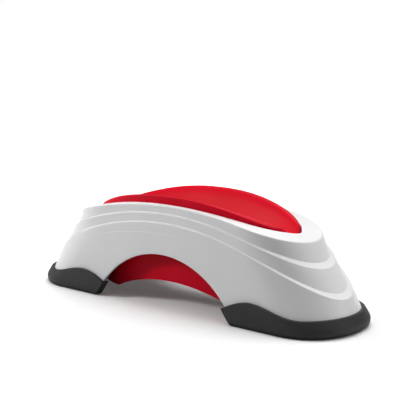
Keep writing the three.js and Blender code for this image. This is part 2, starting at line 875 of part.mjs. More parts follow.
for (const [signX, signY] of corners) {
  const corner = `${sideName(signX)}_${rowName(signY)}`;
  legPosts.forEach(({ x, y }, index) => {
    const place = index === 0 ? "heel" : "toe";
    add(
      `plate_screw_${corner}_${place}`,
      screw(signX * x, signY * y, plateBottom, plateTop + screwBite),
      steel,
    );
  });
  add(
    `tower_screw_${corner}`,
    screw(signX * towerScrewX, signY * towerScrewY, plateBottom, towerBottom + towerFootHeight - 2 * gap),
    steel,
  );
  add(
    `bridge_screw_${corner}`,
    screw(
      signX * bridgeX,
      signY * bridgeScrewY,
      bridgeTop - bridgeThickness - gap - screwHeadHeight,
      boltBarBottom + screwBite,
    ),
    steel,
  );
  add(`stop_pad_${corner}`, stopPad(signX, signY), blackRubber);
}

export default riser;
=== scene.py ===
import json
import math

import bmesh
import bpy
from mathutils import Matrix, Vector


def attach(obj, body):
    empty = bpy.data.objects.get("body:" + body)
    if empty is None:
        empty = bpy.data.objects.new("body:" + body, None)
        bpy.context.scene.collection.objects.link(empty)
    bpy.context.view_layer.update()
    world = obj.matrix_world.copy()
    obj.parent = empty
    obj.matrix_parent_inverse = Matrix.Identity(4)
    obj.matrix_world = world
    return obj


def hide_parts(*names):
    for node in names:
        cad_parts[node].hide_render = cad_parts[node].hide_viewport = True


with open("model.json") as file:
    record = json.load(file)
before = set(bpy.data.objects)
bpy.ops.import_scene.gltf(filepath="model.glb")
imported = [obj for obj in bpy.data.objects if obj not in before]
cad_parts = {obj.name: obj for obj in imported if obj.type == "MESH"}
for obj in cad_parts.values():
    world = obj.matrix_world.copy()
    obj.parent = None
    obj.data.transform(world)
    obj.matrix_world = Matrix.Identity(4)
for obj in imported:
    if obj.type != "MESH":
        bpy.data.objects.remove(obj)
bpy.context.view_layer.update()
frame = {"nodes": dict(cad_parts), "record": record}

MM = 0.001
QUARTERS = ((1, 1), (-1, 1), (-1, -1), (1, -1))
QUARTER_STEPS = 96
STRAIGHT_SHARE = 0.4

# Rounding of a corner: how far it may reach along an edge, and how many steps it takes
CORNER_REACH = 0.45
CORNER_STEPS = 4
SMALLEST = 1e-6

# Drawing up a piece: doubles that are merged, slivers that are dissolved, and room to cut past a face
WELD = 1e-3
SLIVER = 1e-4
OVERRUN = 2.0
SHORT_OVERRUN = 1.0

# Bands of the cover: each line drops from the middle of the block to its ends
WALL = 2.4
RIM = dict(length=128.3, width=42.0, height=91.0, drop=21.0)
UPPER_LEDGE = dict(length=142.3, width=43.5, height=83.4, drop=34.0)
LOWER_LEDGE = dict(length=160.5, width=45.1, height=75.4, drop=48.9)
BAND_STRAIGHT = 80.0
BAND_ROUNDNESS = 2.05
SWEEP = 2.05
RIM_CROWN = 0.75
RIM_CROWN_REACH = 90.0
LEDGE_END_DEPTH = 5.5
LEDGE_END_RISE = 4.2
LEDGE_SIDE_DEPTH = 1.6
LEDGE_SIDE_RISE = 0.95
INNER_END_SETBACK = 2.0
CORE_END_SHARE = 0.9

# Hem and arches of the cover
HEM_LENGTH = 169.8
HEM_WIDTH = 47.3
HEM_HEIGHT = 4.0
FOOT_STRAIGHT = 125.0
FOOT_ROUNDNESS = 2.2
ARCH_RADIUS = 92.0
ARCH_CROWN = 48.0
ARCH_CENTRE = ARCH_CROWN - ARCH_RADIUS
ARCH_HALVINGS = 40

# Faint line under the ledges
CREASE_DROP = 9.0
CREASE_DEPTH = 0.12
CREASE_RISE = 0.16
CREASE_FROM = -25.0
CREASE_TO = 92.0
CREASE_FADE = 0.7

# Rounding of the cover's edges
HEM_ROUNDING = 0.7
CREASE_ROUNDING = 0.3
LEDGE_ROUNDING = 0.15
LEDGE_FOOT_ROUNDING = 0.1
RIM_ROUNDING = 1.5
SLOT_ROUNDING = 0.9
SLOT_UNDER_ROUNDING = 0.4
INNER_RIM_ROUNDING = 1.5
INNER_LEDGE_ROUNDING = 1.0
COVER_SMOOTHING = 70

# Posts and ribs inside the cover
POST_BOTTOM = 6.7
POST_RADIUS = 4.0
POST_PLACES = ((112.0, 37.0), (151.3, 20.0))
RIB_BOTTOM = 7.0
RIB_THICKNESS = 2.0
SCREW_HOLE = 1.8
SCREW_HOLE_SIDES = 24
SCREW_BITE = 12.0

# Boots: each pair is an inset at the toe and at the side
BOOT_LENGTH = 173.0
BOOT_WIDTH = 50.6
BOOT_GAP = 0.5
BOOT_WALL = 2.9
BULGE_HEIGHT = 6.5
BULGE_INSETS = (0, 0)
FOOT_HEIGHT = 1.6
FOOT_INSETS = (1.2, 0.4)
FLOOR_INSETS = (3.2, 1.3)
SOLE = 3.1
SOLE_INSET = 5.1
SOLE_START = 0.4

# Top edge of the boots, from the heel at the arch over the hump to the toe
HEEL_X = 79.3
TIP_X = 69.4
TIP_HEIGHT = 13.2
HUMP_X = 97.0
HUMP_HEIGHT = 22.2
HUMP_POWER = 1.7
DIP_X = 145.0
DIP_HEIGHT = 14.1
TOE_HEIGHT = 15.0
EDGE_PASSES = 12

# Flaps of the boots round the edges of the arches
FOLD_DEPTH = 8.4
FOLD_STEPS = 8
FOLD_CLEARANCE = 0.3

# Room that holds a boot, behind its slanting heel
HEEL_SLOPE = (HEEL_X - TIP_X) / TIP_HEIGHT
ROOM_END = 180
ROOM_SIDE = 60
ROOM_TOP = 30
ROOM_BOTTOM = -2

# Rounding of the boots' edges
FLOOR_ROUNDING = 0.3
FOOT_ROUNDING = 0.5
BULGE_ROUNDING = 3.0
TOP_OUTER_ROUNDING = 0.6
TOP_INNER_ROUNDING = 0.4
SEAT_ROUNDING = 0.3
SOLE_ROUNDING = 0.5
BOOT_SMOOTHING = 40

# Plan and skirt of the cradle
CRADLE_LENGTH = 112.3
CRADLE_WIDTH = 37.5
CRADLE_ROUNDNESS = 2.3
CRADLE_DRAFT = 3.2
CRADLE_WALL = 3.0
CRADLE_BOTTOM = 9.0
NOSE_PINCH = 0.5
NOSE_POWER = 14
SLOT_PLAY = 0.8
SKIRT_BOTTOM = 6.6
SKIRT_END = 103.5
SKIRT_ARCH_RADIUS = 172.0
SKIRT_ARCH_CROWN = 22.0

# Crest line, lip and trough of the cradle
CREST_LENGTH = 102.9
CREST_WIDTH = 36.9
CREST_END_WIDTH = 13.6
CREST_HEIGHT = 98.7
CREST_END_HEIGHT = 79.5
CREST_PLAN_POWER = 2.64
CREST_RISE_POWER = 2.2
CREST_NOSE = 7.0
CREST_NOSE_POWER = 1.3
LIP_FALL = 1.0
LIP_END_FALL = 1.4
LIP_END_POWER = 4
TROUGH_FLOOR = 53.0
TROUGH_FLAT = 0.25
TROUGH_END = 0.96
TROUGH_SPREADS = (
    0, 0.08, 0.16, 0.24, 0.3, 0.36, 0.42, 0.48, 0.54, 0.6, 0.66, 0.72, 0.78, 0.84, 0.9, 0.95,
)
WHEEL_RADIUS = 334.0
SLOPE_STEP = 0.05

# Hollow under the trough
HOLLOW_WIDTH = 0.87
HOLLOW_REACH = (CREST_LENGTH + CREST_NOSE - CRADLE_WALL) / (CREST_LENGTH + CREST_NOSE)
HOLLOW_SPREADS = [step / 10 for step in range(10, -1, -1)]

# Rounding of the cradle's edges
LIP_ROUNDING = 0.8
SKIRT_ROUNDING = 0.6
CRADLE_SMOOTHING = 60

# Bosses, lugs and windows of the cradle
BOSS_BOTTOM = 31.0
BOSS_X = 45.0
BOSS_Y = 13.5
BOSS_PLACES = [(sign_x * BOSS_X, sign_y * BOSS_Y) for sign_x, sign_y in QUARTERS]
PIVOT_BOTTOM = 35.6
PIVOT_RADIUS = 6.0
PIVOT_SIDES = 40
PIVOT_HOLE = 2.8
LUG_FROM = 97.1
LUG_TO = 117.1
LUG_SIDES = (9.5, 14.5)
LUG_HEIGHT = 3.0
WINDOW_WIDTH = 13.0
WINDOW_HEIGHTS = (10.0, 15.0)


# Curves that the cover, the boots and the cradle share

def between(low, high, share):
    return low + (high - low) * share


def outline(length, width, straight, roundness):
    """Quarter of a plan, from the middle of the long side (0) to the tip of the end (1)."""
    flat = STRAIGHT_SHARE if straight else 0.0

    def place(share):
        if share < flat:
            return straight * share / flat, width
        angle = (share - flat) / (1 - flat) * math.pi / 2
        x = straight + (length - straight) * math.sin(angle) ** (2 / roundness)
        y = width * max(0.0, math.cos(angle)) ** (2 / roundness)
        return x, (y if share < 1 else 0.0)

    return place


def boat(outset):
    """Plan of the cradle and of its slot, drawn in towards a point at each end."""
    length = CRADLE_LENGTH + outset
    oval = outline(length, CRADLE_WIDTH + outset, 0, CRADLE_ROUNDNESS)

    def place(share):
        x, y = oval(share)
        return x, y * (1 - NOSE_PINCH * (x / length) ** NOSE_POWER)

    return place


def band(size, end_outset=0.0, side_outset=0.0):
    length, width = size["length"] + end_outset, size["width"] + side_outset
    return outline(length, width, BAND_STRAIGHT, BAND_ROUNDNESS)


def hem(outset=0.0):
    return outline(HEM_LENGTH + outset, HEM_WIDTH + outset, FOOT_STRAIGHT, FOOT_ROUNDNESS)


def fallen(size, x, lift=0.0, drop=None):
    """Height of a band line, which falls from the middle of the block to its ends."""
    fall = size["drop"] if drop is None else drop
    return size["height"] + lift - fall * (abs(x) / size["length"]) ** SWEEP


def quarter(sign_x, sign_y):
    """Sets a point of the first quarter in the quarter that has these signs."""
    return lambda x, y, z: Vector((sign_x * x, sign_y * y, z))


def columns():
    """Each place round a loop: its share of a quarter, and the signs of that quarter."""
    steps = [step / QUARTER_STEPS for step in range(QUARTER_STEPS + 1)]
    out, back = steps[:-1], steps[:0:-1]
    for (sign_x, sign_y), shares in zip(QUARTERS, (back, out, back, out)):
        for share in shares:
            yield share, sign_x, sign_y


def softened(corners):
    """A run of corners, each a point, its rounding and the divisions of the span after it."""
    count = len(corners)
    points = []
    for index, (corner, radius, divisions) in enumerate(corners):
        before = corners[index - 1][0] if index else None
        after = corners[index + 1][0] if index + 1 < count else None
        if before is None or after is None or not radius:
            start = end = corner
            points.append(corner)
        else:
            back, ahead = before - corner, after - corner
            start = corner + back * corner_share(radius, back)
            end = corner + ahead * corner_share(radius, ahead)
            for step in range(CORNER_STEPS + 1):
                share = step / CORNER_STEPS
                points.append(start.lerp(corner, share).lerp(corner.lerp(end, share), share))
        if after is not None:
            reach = corners[index + 1][1]
            target = after
            if reach and index + 2 < count:
                back = corner - after
                target = after + back * corner_share(reach, back)
            for step in range(1, divisions):
                points.append(end.lerp(target, step / divisions))
    return points


def corner_share(radius, edge):
    return min(CORNER_REACH, radius / max(edge.length, SMALLEST))


# Modelling

def deselect():
    if bpy.context.mode != "OBJECT":
        bpy.ops.object.mode_set(mode="OBJECT")
    bpy.ops.object.select_all(action="DESELECT")


def pick(*pieces):
    """Selects these pieces alone, with the first of them active."""
    deselect()
    for piece in pieces:
        piece.select_set(True)
    bpy.context.view_layer.objects.active = pieces[0]


def settle():
    """Puts the place, turn and scale of the picked piece into its mesh."""
    bpy.ops.object.transform_apply(location=True, rotation=True, scale=True)


def turned_out():
    """Turns all faces of the edited mesh outwards and leaves edit mode."""
    bpy.ops.mesh.select_all(action="SELECT")
    bpy.ops.mesh.normals_make_consistent(inside=False)
    bpy.ops.object.mode_set(mode="OBJECT")


def drawn_up(name, column, joined_ends=False):
    """A loop with a place for each column is extruded along the columns, one step at a time."""
    profiles = [column(*place) for place in columns()]
    deselect()
    bpy.ops.mesh.primitive_circle_add(vertices=len(profiles), radius=1, fill_type="NOTHING")
    piece = bpy.context.object
    piece.name = piece.data.name = name
    for vertex, profile in zip(piece.data.vertices, profiles):
        vertex.co = profile[0]
    bpy.ops.object.mode_set(mode="EDIT")
    bpy.ops.mesh.select_mode(type="EDGE")
    bpy.ops.mesh.select_all(action="SELECT")
    mesh = bmesh.from_edit_mesh(piece.data)
    order = {place: place for place in range(len(mesh.verts))}
    for step in range(1, len(profiles[0])):
        order = extruded(piece, profiles, order, step)
    bmesh.update_edit_mesh(piece.data)
    if joined_ends:
        bridged_ends(piece)
    bpy.ops.mesh.select_all(action="SELECT")
    bpy.ops.mesh.remove_doubles(threshold=WELD)
    bpy.ops.mesh.dissolve_degenerate(threshold=SLIVER)
    turned_out()
    return piece


def extruded(piece, profiles, order, step):
    """Extrudes the newest loop to the next points, and says which vertex follows which."""
    bpy.ops.mesh.extrude_region_move()
    mesh = bmesh.from_edit_mesh(piece.data)
    mesh.verts.index_update()
    mesh.verts.ensure_lookup_table()
    fresh = [vertex for vertex in mesh.verts if vertex.select]
    next_order = {}
    for vertex in fresh:
        for edge in vertex.link_edges:
            other = edge.other_vert(vertex)
            if not other.select and other.index in order:
                next_order[vertex.index] = order[other.index]
    for vertex in fresh:
        vertex.co = profiles[next_order[vertex.index]][step]
    return next_order


def bridged_ends(piece):
    """Joins the first loop to the last, so that the wall is closed."""
    bpy.ops.mesh.select_all(action="DESELECT")
    mesh = bmesh.from_edit_mesh(piece.data)
    for edge in mesh.edges:
        edge.select = len(edge.link_faces) == 1
    bmesh.update_edit_mesh(piece.data)
    bpy.ops.mesh.bridge_edge_loops()


def to_metres(piece):
    """Scales a piece that was drawn in millimetres, in its mesh."""
    pick(piece)
    piece.scale = (MM, MM, MM)
    settle()


def block(low, high):
    deselect()
    bpy.ops.mesh.primitive_cube_add(size=1, location=(Vector(low) + Vector(high)) / 2)
    piece = bpy.context.object
    piece.scale = Vector(high) - Vector(low)
    settle()
    return piece


def rod(x, y, low, high, radius, sides=32):
    deselect()
    bpy.ops.mesh.primitive_cylinder_add(
        vertices=sides, radius=radius, depth=high - low, location=(x, y, (low + high) / 2)
    )
    settle()
    return bpy.context.object


def side_profile(points, low_y, high_y):
    """A solid drawn as a side view of (x, z) corners and extruded across the block."""
    deselect()
    bpy.ops.mesh.primitive_circle_add(vertices=len(points), radius=1, fill_type="NGON")
    piece = bpy.context.object
    for vertex, (x, z) in zip(piece.data.vertices, points):
        vertex.co = (x, low_y, z)
    bpy.ops.object.mode_set(mode="EDIT")
    bpy.ops.mesh.select_all(action="SELECT")
    bpy.ops.mesh.extrude_region_move(TRANSFORM_OT_translate={"value": (0, high_y - low_y, 0)})
    turned_out()
    return piece


def combine(piece, other, operation):
    """Joins or cuts a piece with another solid, which is used up."""
    pick(piece)
    joint = piece.modifiers.new(operation.title(), "BOOLEAN")
    joint.operation = operation
    joint.solver = "EXACT"
    joint.object = other
    bpy.ops.object.modifier_apply(modifier=joint.name)
    bpy.data.objects.remove(other)


def single_faced(piece):
    """Merges the doubles of a piece and keeps one of any two faces with the same corners."""
    pick(piece)
    bpy.ops.object.mode_set(mode="EDIT")
    bpy.ops.mesh.select_all(action="SELECT")
    bpy.ops.mesh.remove_doubles(threshold=WELD)
    bpy.ops.mesh.select_mode(type="FACE")
    bpy.ops.mesh.select_all(action="DESELECT")
    mesh = bmesh.from_edit_mesh(piece.data)
    known = set()
    for face in mesh.faces:
        corners = frozenset(vertex.index for vertex in face.verts)
        face.select = corners in known
        known.add(corners)
    bmesh.update_edit_mesh(piece.data)
    bpy.ops.mesh.delete(type="ONLY_FACE")
    turned_out()


def grouped(pieces):
    """Solids that don't touch each other, as one object."""
    pick(*pieces)
    bpy.ops.object.join()
    return pieces[0]


def smoothed(piece, degrees):
    pick(piece)
    bpy.ops.object.shade_smooth_by_angle(angle=math.radians(degrees))


# Cover

def on_arch(foot, top):
    """Share of the way from the hem up to the lower ledge at which the arch cuts the wall."""
    def inside(share):
        x = between(foot.x, top.x, share)
        z = between(foot.z, top.z, share)
        return x * x + (z - ARCH_CENTRE) ** 2 < ARCH_RADIUS ** 2

    if not inside(0.0):
        return 0.0
    low, high = 0.0, 1.0
    for _ in range(ARCH_HALVINGS):
        middle = (low + high) / 2
        low, high = (middle, high) if inside(middle) else (low, middle)
    return high


def crease_fade(x, sign_x, sign_y):
    """Strength of the faint line under the ledges: one end of each side has it, and it fades out."""
    along = (x * sign_x * sign_y - CREASE_FROM) / (CREASE_TO - CREASE_FROM)
    return math.sin(math.pi * along) ** CREASE_FADE if 0 < along < 1 else 0.0


def creased(ledge, foot, sign_x, sign_y):
    """Outer and inner corner of the faint line, on the wall between a ledge and the hem."""
    outer = ledge.lerp(foot, CREASE_DROP / (ledge.z - foot.z))
    fade = crease_fade(abs(outer.x), sign_x, sign_y)
    return outer, outer + Vector((0, -sign_y * CREASE_DEPTH, CREASE_RISE)) * fade


def rim_crown(x):
    """Height by which the rim rises from its outer edge to the slot."""
    return RIM_CROWN * max(0.0, 1 - (abs(x) / RIM_CROWN_REACH) ** 2)


def lining(size, inset, share):
    """Place on a band line inside the cover, an inset away from the outside."""
    x, y = band(size, -inset - INNER_END_SETBACK, -inset)(share)
    return x, y, fallen(size, x) - inset


def cover_column(share, sign_x, sign_y):
    """Up the outside of the cover, over the rim to the slot and down the inside."""
    point = quarter(sign_x, sign_y)

    def at(plan, height):
        x, y = plan(share)
        return point(x, y, height(x))

    def ledge(size):
        inner = dict(size, length=size["length"] - LEDGE_END_DEPTH)
        drop = size["drop"] - LEDGE_END_RISE + LEDGE_SIDE_RISE
        return (
            at(band(size), lambda x: fallen(size, x)),
            at(
                band(inner, side_outset=-LEDGE_SIDE_DEPTH),
                lambda x: fallen(inner, x, lift=LEDGE_SIDE_RISE, drop=drop),
            ),
        )

    lower_outer, lower_inner = ledge(LOWER_LEDGE)
    upper_outer, upper_inner = ledge(UPPER_LEDGE)
    foot = point(*hem()(share), HEM_HEIGHT)
    bottom = foot.lerp(lower_outer, on_arch(foot, lower_outer))
    crease_outer, crease_inner = creased(lower_outer, foot, sign_x, sign_y)
    rim = at(band(RIM), lambda x: fallen(RIM, x))
    slot = boat(SLOT_PLAY)
    slot_edge = at(slot, lambda x: fallen(RIM, x, lift=rim_crown(x)))
    slot_under = at(slot, lambda x: fallen(RIM, x) - WALL)

    inner_rim = point(*lining(RIM, WALL, share))
    inner_upper = point(*lining(UPPER_LEDGE, WALL, share))
    inner_lower = point(*lining(LOWER_LEDGE, WALL, share))
    inner_foot = point(*hem(-WALL)(share), HEM_HEIGHT)
    inner_bottom = inner_foot.lerp(inner_lower, on_arch(inner_foot, inner_lower))
    return softened([
        (bottom.lerp(inner_bottom, 0.5), 0, 1),
        (bottom, HEM_ROUNDING, 7),
        (crease_outer, CREASE_ROUNDING, 1),
        (crease_inner, CREASE_ROUNDING, 3),
        (lower_outer, LEDGE_ROUNDING, 1),
        (lower_inner, LEDGE_FOOT_ROUNDING, 3),
        (upper_outer, LEDGE_ROUNDING, 1),
        (upper_inner, LEDGE_FOOT_ROUNDING, 3),
        (rim, RIM_ROUNDING, 6),
        (slot_edge, SLOT_ROUNDING, 1),
        (slot_under, SLOT_UNDER_ROUNDING, 2),
        (inner_rim, INNER_RIM_ROUNDING, 2),
        (inner_upper, INNER_LEDGE_ROUNDING, 2),
        (inner_lower, INNER_LEDGE_ROUNDING, 4),
        (inner_bottom, HEM_ROUNDING, 1),
    ])


def wall_core_column(share, sign_x, sign_y):
    """Round the room inside the cover, out to the middle of its wall."""
    point = quarter(sign_x, sign_y)
    foot_x, foot_y = hem(-WALL / 2)(share)
    rim = point(*lining(RIM, WALL / 2, share))
    return [
        point(foot_x * CORE_END_SHARE, 0, HEM_HEIGHT),
        point(foot_x, foot_y, HEM_HEIGHT),
        point(*lining(LOWER_LEDGE, WALL / 2, share)),
        point(*lining(UPPER_LEDGE, WALL / 2, share)),
        rim,
        Vector((rim.x * CORE_END_SHARE, 0, rim.z)),
    ]


def screw_posts():
    """Posts for the screws of the leg plates, each tied to the side wall by a rib."""
    posts = []
    for x, y in POST_PLACES:
        for sign_x, sign_y in QUARTERS:
            post = rod(sign_x * x, sign_y * y, POST_BOTTOM, RIM["height"], POST_RADIUS)
            near, far = sorted((sign_y * y, sign_y * (HEM_WIDTH - WALL / 2)))
            rib = block(
                (sign_x * x - RIB_THICKNESS / 2, near, RIB_BOTTOM),
                (sign_x * x + RIB_THICKNESS / 2, far, RIM["height"]),
            )
            combine(post, rib, "UNION")
            posts.append(post)
    made = grouped(posts)
    combine(made, drawn_up("wall_core", wall_core_column), "INTERSECT")
    return made


def screw_hole(x, y, bottom, overrun):
    return rod(x, y, bottom - overrun, bottom + SCREW_BITE, SCREW_HOLE, SCREW_HOLE_SIDES)


def post_holes():
    return grouped([
        screw_hole(sign_x * x, sign_y * y, POST_BOTTOM, SHORT_OVERRUN)
        for x, y in POST_PLACES
        for sign_x, sign_y in QUARTERS
    ])


cover = drawn_up("cover", cover_column, joined_ends=True)
combine(cover, screw_posts(), "UNION")
combine(cover, post_holes(), "DIFFERENCE")
to_metres(cover)
smoothed(cover, COVER_SMOOTHING)


# Boots

def boot_top(x):
    """Height of a boot's top edge: up from the tip to the hump, down to the dip and level to the toe."""
    if x < HUMP_X:
        short = (HUMP_X - x) / (HUMP_X - TIP_X)
        return HUMP_HEIGHT - (HUMP_HEIGHT - TIP_HEIGHT) * short ** HUMP_POWER
    if x < DIP_X:
        along = (x - HUMP_X) / (DIP_X - HUMP_X)
        return between(DIP_HEIGHT, HUMP_HEIGHT, (1 + math.cos(math.pi * along)) / 2)
    return between(DIP_HEIGHT, TOE_HEIGHT, (x - DIP_X) / (BOOT_LENGTH - DIP_X))


def boot_column(share, sign_x, sign_y):
    """Along the floor, up the outside of the boot, over its edge and down to the sole inside."""
    point = quarter(sign_x, sign_y)

    def outside(insets, z):
        toe, side = insets
        plan = outline(BOOT_LENGTH - toe, BOOT_WIDTH - side, FOOT_STRAIGHT, FOOT_ROUNDNESS)
        return point(*plan(share), z)

    def inside(outset, z):
        return point(*hem(outset)(share), z)

    def edge(outset):
        """The boot's top edge, on the leaning wall of the cover's lower band."""
        hem_x, hem_y = hem(outset)(share)
        ledge_x, ledge_y = band(LOWER_LEDGE, outset, outset)(share)
        ledge_z = fallen(LOWER_LEDGE, ledge_x)
        x = hem_x
        for _ in range(EDGE_PASSES):
            z = boot_top(x)
            climb = (z - HEM_HEIGHT) / (ledge_z - HEM_HEIGHT)
            x = between(hem_x, ledge_x, climb)
        return point(x, between(hem_y, ledge_y, climb), z)

    floor_inside = inside(-SOLE_INSET, 0)
    floor_outside = outside(FLOOR_INSETS, 0)
    return softened([
        (floor_inside.lerp(floor_outside, SOLE_START), 0, 2),
        (floor_outside, FLOOR_ROUNDING, 1),
        (outside(FOOT_INSETS, FOOT_HEIGHT), FOOT_ROUNDING, 2),
        (outside(BULGE_INSETS, BULGE_HEIGHT), BULGE_ROUNDING, 4),
        (edge(BOOT_GAP + BOOT_WALL), TOP_OUTER_ROUNDING, 1),
        (edge(BOOT_GAP), TOP_INNER_ROUNDING, 3),
        (inside(BOOT_GAP, HEM_HEIGHT), SEAT_ROUNDING, 1),
        (inside(BOOT_GAP, SOLE), SEAT_ROUNDING, 2),
        (inside(-SOLE_INSET, SOLE), SOLE_ROUNDING, 1),
        (floor_inside, SOLE_ROUNDING, 1),
    ])


def folds():
    """Flaps that wrap the edges of the arches, to the inside of the cover's wall."""
    reach = ARCH_RADIUS - FOLD_CLEARANCE
    face, back = [], []
    for step in range(FOLD_STEPS + 1):
        z = TIP_HEIGHT * step / FOLD_STEPS
        heel = between(HEEL_X, TIP_X, z / TIP_HEIGHT)
        arch = math.sqrt(reach ** 2 - (z - ARCH_CENTRE) ** 2)
        face.append((heel, z))
        back.append((min(heel + BOOT_WALL, arch), z))
    for sign in (-1, 1):
        low, high = sorted((
            sign * (BOOT_WIDTH - FOLD_DEPTH),
            sign * (HEM_WIDTH + BOOT_GAP + SHORT_OVERRUN),
        ))
        yield side_profile([*face, *reversed(back)], low, high)


def boot():
    piece = drawn_up("boot", boot_column, joined_ends=True)
    room = [
        (HEEL_X - ROOM_BOTTOM * HEEL_SLOPE, ROOM_BOTTOM),
        (ROOM_END, ROOM_BOTTOM),
        (ROOM_END, ROOM_TOP),
        (HEEL_X - ROOM_TOP * HEEL_SLOPE, ROOM_TOP),
    ]
    combine(piece, side_profile(room, -ROOM_SIDE, ROOM_SIDE), "INTERSECT")
    for fold in folds():
        combine(piece, fold, "UNION")
    single_faced(piece)
    return piece


right_boot = boot()
right_boot.name = "boot_of_right_leg"
to_metres(right_boot)
smoothed(right_boot, BOOT_SMOOTHING)

left_boot = right_boot.copy()
left_boot.data = right_boot.data.copy()
left_boot.name = "boot_of_left_leg"
bpy.context.scene.collection.objects.link(left_boot)
pick(left_boot)
left_boot.scale = (-1, 1, 1)
settle()
bpy.ops.object.mode_set(mode="EDIT")
turned_out()


# Cradle

def crest_share(x):
    return min(1.0, abs(x) / CREST_LENGTH)


def crest_y(x):
    spread = 1 - crest_share(x) ** CREST_PLAN_POWER
    return CREST_END_WIDTH + (CREST_WIDTH - CREST_END_WIDTH) * spread


def crest_z(x):
    rise = 1 - crest_share(x) ** CREST_RISE_POWER
    return CREST_END_HEIGHT + (CREST_HEIGHT - CREST_END_HEIGHT) * rise


def crest_place(share):
    """Place of the crest line in plan: along the walls, then round the nose."""
    x = boat(0)(share)[0] * (CREST_LENGTH + CREST_NOSE) / CRADLE_LENGTH
    if x < CREST_LENGTH:
        return x, crest_y(x)
    beyond = min(1.0, (x - CREST_LENGTH) / CREST_NOSE)
    return x, (CREST_END_WIDTH * (1 - beyond ** CREST_NOSE_POWER) if share < 1 else 0.0)


def trough(x, y):
    """Height of the trough: round like the wheel along it, rising to the crest line at each side."""
    floor = TROUGH_FLOOR + WHEEL_RADIUS - math.sqrt(WHEEL_RADIUS ** 2 - x ** 2)
    across = min(1.0, abs(y) / crest_y(x))
    climb = max(0.0, (across - TROUGH_FLAT) / (1 - TROUGH_FLAT))
    return floor + (crest_z(x) - floor) * math.sin(math.pi / 2 * climb) ** 2


def steepness(x, y):
    """Upright thickness of the trough's wall for each millimetre that it is thick."""
    step = SLOPE_STEP
    along_x = (trough(x + step, y) - trough(x - step, y)) / (2 * step)
    along_y = (trough(x, y + step) - trough(x, y - step)) / (2 * step)
    return math.sqrt(1 + along_x ** 2 + along_y ** 2)


def hollow(share, depth):
    """Places a depth under the trough, from the wall of the hollow to its middle."""
    crest_x, crest_width = crest_place(share)
    for spread in HOLLOW_SPREADS:
        x = crest_x * HOLLOW_REACH * between(TROUGH_END, 1, spread)
        y = crest_width * HOLLOW_WIDTH * spread
        yield x, y, trough(x, y) - depth * steepness(x, y)


def skirt_edge(x):
    """Height of the skirt's lower edge, which is arched between the legs."""
    if abs(x) > SKIRT_END:
        return CRADLE_BOTTOM
    arc = SKIRT_ARCH_RADIUS ** 2 - x ** 2
    arch = SKIRT_ARCH_CROWN - SKIRT_ARCH_RADIUS + math.sqrt(max(0.0, arc))
    return max(SKIRT_BOTTOM, arch)


def cradle_column(share, sign_x, sign_y):
    """From the trough's floor up to the crest, down the outside of the skirt and up the inside."""
    point = quarter(sign_x, sign_y)
    crest_x, crest_width = crest_place(share)
    crest_height = trough(crest_x, crest_width)

    corners = []
    for spread in TROUGH_SPREADS:
        x, y = crest_x * between(TROUGH_END, 1, spread), crest_width * spread
        corners.append((point(x, y, trough(x, y)), 0, 1))
    corners.append((point(crest_x, crest_width, crest_height), LIP_ROUNDING, 1))
    lip_fall = LIP_FALL + LIP_END_FALL * crest_share(crest_x) ** LIP_END_POWER
    x, y = boat(0)(share)
    corners.append((point(x, y, crest_height - lip_fall), LIP_ROUNDING, 6))
    for inset, divisions in ((CRADLE_DRAFT, 1), (CRADLE_DRAFT + CRADLE_WALL, 4)):
        x, y = boat(-inset)(share)
        corners.append((point(x, y, skirt_edge(x)), SKIRT_ROUNDING, divisions))
    corners.extend((point(*place), 0, 1) for place in hollow(share, CRADLE_WALL))
    return softened(corners)


def trough_core_column(share, sign_x, sign_y):
    """Round the room under the trough, up to the middle of its wall."""
    point = quarter(sign_x, sign_y)
    crest_x, crest_width = crest_place(share)
    bottom = BOSS_BOTTOM - OVERRUN
    return [
        point(crest_x * HOLLOW_REACH * TROUGH_END, 0, bottom),
        point(crest_x * HOLLOW_REACH, crest_width * HOLLOW_WIDTH, bottom),
        *(point(*place) for place in hollow(share, CRADLE_WALL / 2)),
    ]


def cradle_bosses():
    """Bosses of the bolt bridges and of the knob's pivot, under the trough."""
    bosses = [rod(x, y, BOSS_BOTTOM, CREST_HEIGHT, POST_RADIUS) for x, y in BOSS_PLACES]
    bosses.append(rod(0, 0, PIVOT_BOTTOM, CREST_HEIGHT, PIVOT_RADIUS, PIVOT_SIDES))
    made = grouped(bosses)
    combine(made, drawn_up("trough_core", trough_core_column), "INTERSECT")
    return made


def guide_lugs():
    """Lugs at the feet of the cradle, which run in the grooves of the towers."""
    lugs = []
    for sign_x, sign_y in QUARTERS:
        x = sorted((sign_x * LUG_FROM, sign_x * LUG_TO))
        y = sorted(sign_y * side for side in LUG_SIDES)
        low, high = (x[0], y[0], CRADLE_BOTTOM), (x[1], y[1], CRADLE_BOTTOM + LUG_HEIGHT)
        lugs.append(block(low, high))
    return grouped(lugs)


def cradle_cuts():
    """Screw holes of the bosses, and the windows that the bolts slide out of."""
    cuts = [screw_hole(x, y, BOSS_BOTTOM, OVERRUN) for x, y in BOSS_PLACES]
    cuts.append(rod(0, 0, PIVOT_BOTTOM - OVERRUN, PIVOT_BOTTOM + SCREW_BITE, PIVOT_HOLE))
    length, width = CRADLE_LENGTH + OVERRUN, WINDOW_WIDTH / 2
    low, high = WINDOW_HEIGHTS
    cuts.append(block((-length, -width, low), (length, width, high)))
    return grouped(cuts)


cradle = drawn_up("wheel_cradle", cradle_column)
combine(cradle, cradle_bosses(), "UNION")
combine(cradle, guide_lugs(), "UNION")
combine(cradle, cradle_cuts(), "DIFFERENCE")
to_metres(cradle)
smoothed(cradle, CRADLE_SMOOTHING)


# Materials

